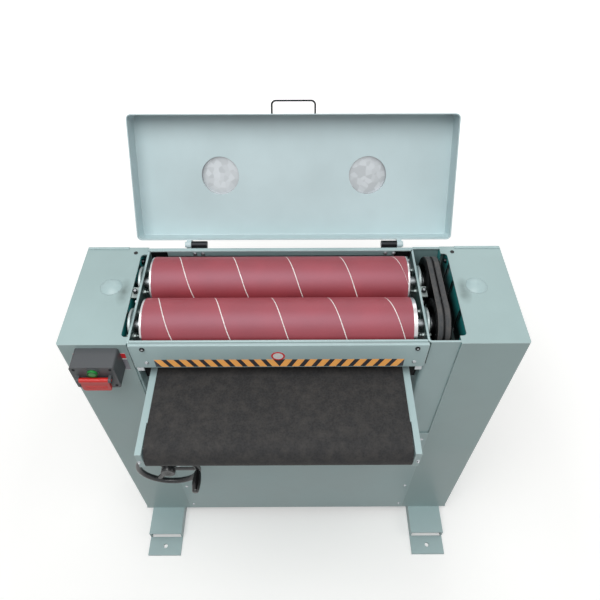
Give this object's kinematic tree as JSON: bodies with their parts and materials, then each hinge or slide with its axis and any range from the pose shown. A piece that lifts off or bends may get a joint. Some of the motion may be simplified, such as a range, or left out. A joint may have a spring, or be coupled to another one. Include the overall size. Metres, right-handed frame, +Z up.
{
  "type": "double drum sander",
  "caption": "Floor-standing drum sander with an open head over a rising conveyor table: helically wrapped abrasive drums on V-belt pulleys, folding lid with dust ports.",
  "frame": {"origin": "on the floor, midway between the four anchor holes", "axes": "+X to the operator's right, +Y the way the board is fed, +Z up"},
  "size_m": [1.054, 0.7434, 1.31],
  "materials": {
    "machine_paint": "semi-gloss paint, light grey-green",
    "bright_steel": "turned bright steel",
    "zinc_steel": "zinc plated",
    "black_steel": "blackened steel",
    "black_iron": "black cast iron, turned",
    "abrasive": "red-brown aluminium oxide cloth",
    "belt_rubber": "dusty black rubber",
    "conveyor_rubber": "coarse matt rubber",
    "stud_rubber": "black rubber",
    "motor_paint": "dark grey paint",
    "gear_alloy": "cast aluminium",
    "spring_steel": "spring wire",
    "wheel_iron": "black enamelled iron",
    "grip_plastic": "black moulded grip",
    "box_plastic": "dark grey moulding",
    "stop_plastic": "red moulding",
    "start_plastic": "green moulding",
    "port_steel": "galvanised sheet"
  },
  "bodies": {
    "stand": {"base_frame": "machine_paint", "left_column": "machine_paint", "right_column": "machine_paint", "left_head_plate": "machine_paint", "belt_housing": "machine_paint", "front_head_panel": "machine_paint", "rear_head_panel": "machine_paint", "panel_brackets": "zinc_steel", "front_cabinet_panel": "machine_paint", "rear_cabinet_panel": "machine_paint", "lift_deck": "machine_paint", "deck_caps": "machine_paint", "lid_bumpers": "stud_rubber", "drum_bearings": "bright_steel", "drum_adjusters": "zinc_steel", "adjuster_screws": "black_steel", "pressure_guides": "zinc_steel", "hinge_barrels": "black_steel", "switch_box": "box_plastic", "main_motor": "motor_paint", "motor_bench": "motor_paint", "v_belts": "belt_rubber", "lift_chain": "black_steel", "lift_gearbox": "gear_alloy", "infeed_pressure_springs": "spring_steel", "outfeed_pressure_springs": "spring_steel"},
    "lid": {"lid": "machine_paint", "hinge_pins": "bright_steel", "dust_ports": "port_steel", "lid_handle": "black_steel"},
    "front_drum": {"front_drum_tube": "bright_steel", "front_drum_shaft": "bright_steel", "front_drum_wrap": "abrasive", "front_drum_pulley": "black_iron"},
    "rear_drum": {"rear_drum_tube": "bright_steel", "rear_drum_shaft": "bright_steel", "rear_drum_wrap": "abrasive", "rear_drum_pulley": "black_iron"},
    "motor_rotor": {"motor_shaft": "bright_steel", "motor_pulley": "black_iron"},
    "table": {"table_frame": "machine_paint", "conveyor_belt": "conveyor_rubber", "roller_bearings": "bright_steel", "feed_gearmotor": "gear_alloy", "lift_nuts": "black_iron"},
    "drive_roller": {"drive_roller": "bright_steel"},
    "idler_roller": {"idler_roller": "bright_steel"},
    "lift_screw_front_left": {"lift_screw_front_left": "bright_steel"},
    "lift_screw_front_right": {"lift_screw_front_right": "bright_steel"},
    "lift_screw_rear_left": {"lift_screw_rear_left": "bright_steel"},
    "lift_screw_rear_right": {"lift_screw_rear_right": "bright_steel"},
    "handwheel": {"handwheel": "wheel_iron", "handwheel_shaft": "bright_steel"},
    "knob": {"handwheel_knob": "grip_plastic"},
    "infeed_pressure": {"infeed_pressure_blocks": "black_iron"},
    "infeed_roller": {"infeed_pressure_roller": "bright_steel"},
    "outfeed_pressure": {"outfeed_pressure_blocks": "black_iron"},
    "outfeed_roller": {"outfeed_pressure_roller": "bright_steel"},
    "start_button": {"start_button": "start_plastic"},
    "stop_paddle": {"stop_paddle": "stop_plastic"}
  },
  "joints": [
    {"name": "lid_fold", "type": "hinge", "parent": "stand", "child": "lid", "pos_m": [0, 0.168, 1.019], "axis": [1, 0, 0], "range_deg": [0, 121]},
    {"name": "front_drum_spin", "type": "hinge", "parent": "stand", "child": "front_drum", "pos_m": [-0.03425, -0.074, 0.993], "axis": [1, 0, 0], "continuous": true},
    {"name": "rear_drum_spin", "type": "hinge", "parent": "stand", "child": "rear_drum", "pos_m": [-0.03425, 0.06, 0.993], "axis": [1, 0, 0], "continuous": true},
    {"name": "motor_spin", "type": "hinge", "parent": "stand", "child": "motor_rotor", "pos_m": [0.3, -0.007, 0.25], "axis": [1, 0, 0], "continuous": true},
    {"name": "handwheel_turn", "type": "hinge", "parent": "stand", "child": "handwheel", "pos_m": [-0.3533, -0.222, 0.532], "axis": [0, 1, 0], "range_deg": [-5610, 1940]},
    {"name": "table_lift", "type": "slide", "parent": "stand", "child": "table", "axis": [0, 0, 1], "range_m": [-0.078, 0.027]},
    {"name": "lift_screw_front_left_turn", "type": "hinge", "parent": "stand", "child": "lift_screw_front_left", "pos_m": [-0.3533, -0.1, 0.6], "axis": [0, 0, 1], "range_deg": [-1940, 5610]},
    {"name": "lift_screw_front_right_turn", "type": "hinge", "parent": "stand", "child": "lift_screw_front_right", "pos_m": [0.2848, -0.1, 0.6], "axis": [0, 0, 1], "range_deg": [-1940, 5610]},
    {"name": "lift_screw_rear_left_turn", "type": "hinge", "parent": "stand", "child": "lift_screw_rear_left", "pos_m": [-0.3533, 0.1, 0.6], "axis": [0, 0, 1], "range_deg": [-1940, 5610]},
    {"name": "lift_screw_rear_right_turn", "type": "hinge", "parent": "stand", "child": "lift_screw_rear_right", "pos_m": [0.2848, 0.1, 0.6], "axis": [0, 0, 1], "range_deg": [-1940, 5610]},
    {"name": "knob_spin", "type": "hinge", "parent": "handwheel", "child": "knob", "pos_m": [-0.2713, -0.222, 0.532], "axis": [0, 1, 0], "continuous": true},
    {"name": "drive_roller_spin", "type": "hinge", "parent": "table", "child": "drive_roller", "pos_m": [-0.03425, 0.22, 0.862], "axis": [1, 0, 0], "continuous": true},
    {"name": "idler_roller_spin", "type": "hinge", "parent": "table", "child": "idler_roller", "pos_m": [-0.03425, -0.32, 0.862], "axis": [1, 0, 0], "continuous": true},
    {"name": "infeed_pressure_lift", "type": "slide", "parent": "stand", "child": "infeed_pressure", "axis": [0, 0, 1], "range_m": [0, 0.006], "stiffness_N_per_m": 4000, "springref_m": -0.01, "deforming": ["infeed_pressure_springs"]},
    {"name": "infeed_roller_spin", "type": "hinge", "parent": "infeed_pressure", "child": "infeed_roller", "pos_m": [-0.03425, -0.135, 0.94], "axis": [1, 0, 0], "continuous": true},
    {"name": "outfeed_pressure_lift", "type": "slide", "parent": "stand", "child": "outfeed_pressure", "axis": [0, 0, 1], "range_m": [0, 0.006], "stiffness_N_per_m": 4000, "springref_m": -0.01, "deforming": ["outfeed_pressure_springs"]},
    {"name": "outfeed_roller_spin", "type": "hinge", "parent": "outfeed_pressure", "child": "outfeed_roller", "pos_m": [-0.03425, 0.121, 0.94], "axis": [1, 0, 0], "continuous": true},
    {"name": "start_press", "type": "slide", "parent": "stand", "child": "start_button", "axis": [0, 1, 0], "range_m": [0, 0.004], "stiffness_N_per_m": 400, "springref_m": -0.002},
    {"name": "stop_press", "type": "hinge", "parent": "stand", "child": "stop_paddle", "pos_m": [-0.441, -0.211, 0.972], "axis": [1, 0, 0], "range_deg": [0, 8], "stiffness_Nm_per_rad": 0.2, "springref_deg": -5.73}
  ],
  "couplings": [
    {"joint": "rear_drum_spin", "follows": "front_drum_spin", "ratio": 1},
    {"joint": "motor_spin", "follows": "front_drum_spin", "ratio": 1},
    {"joint": "table_lift", "follows": "handwheel_turn", "m_per_rad": 0.00079577},
    {"joint": "lift_screw_front_left_turn", "follows": "handwheel_turn", "ratio": -1},
    {"joint": "lift_screw_front_right_turn", "follows": "handwheel_turn", "ratio": -1},
    {"joint": "lift_screw_rear_left_turn", "follows": "handwheel_turn", "ratio": -1},
    {"joint": "lift_screw_rear_right_turn", "follows": "handwheel_turn", "ratio": -1},
    {"joint": "idler_roller_spin", "follows": "drive_roller_spin", "ratio": 1}
  ]
}
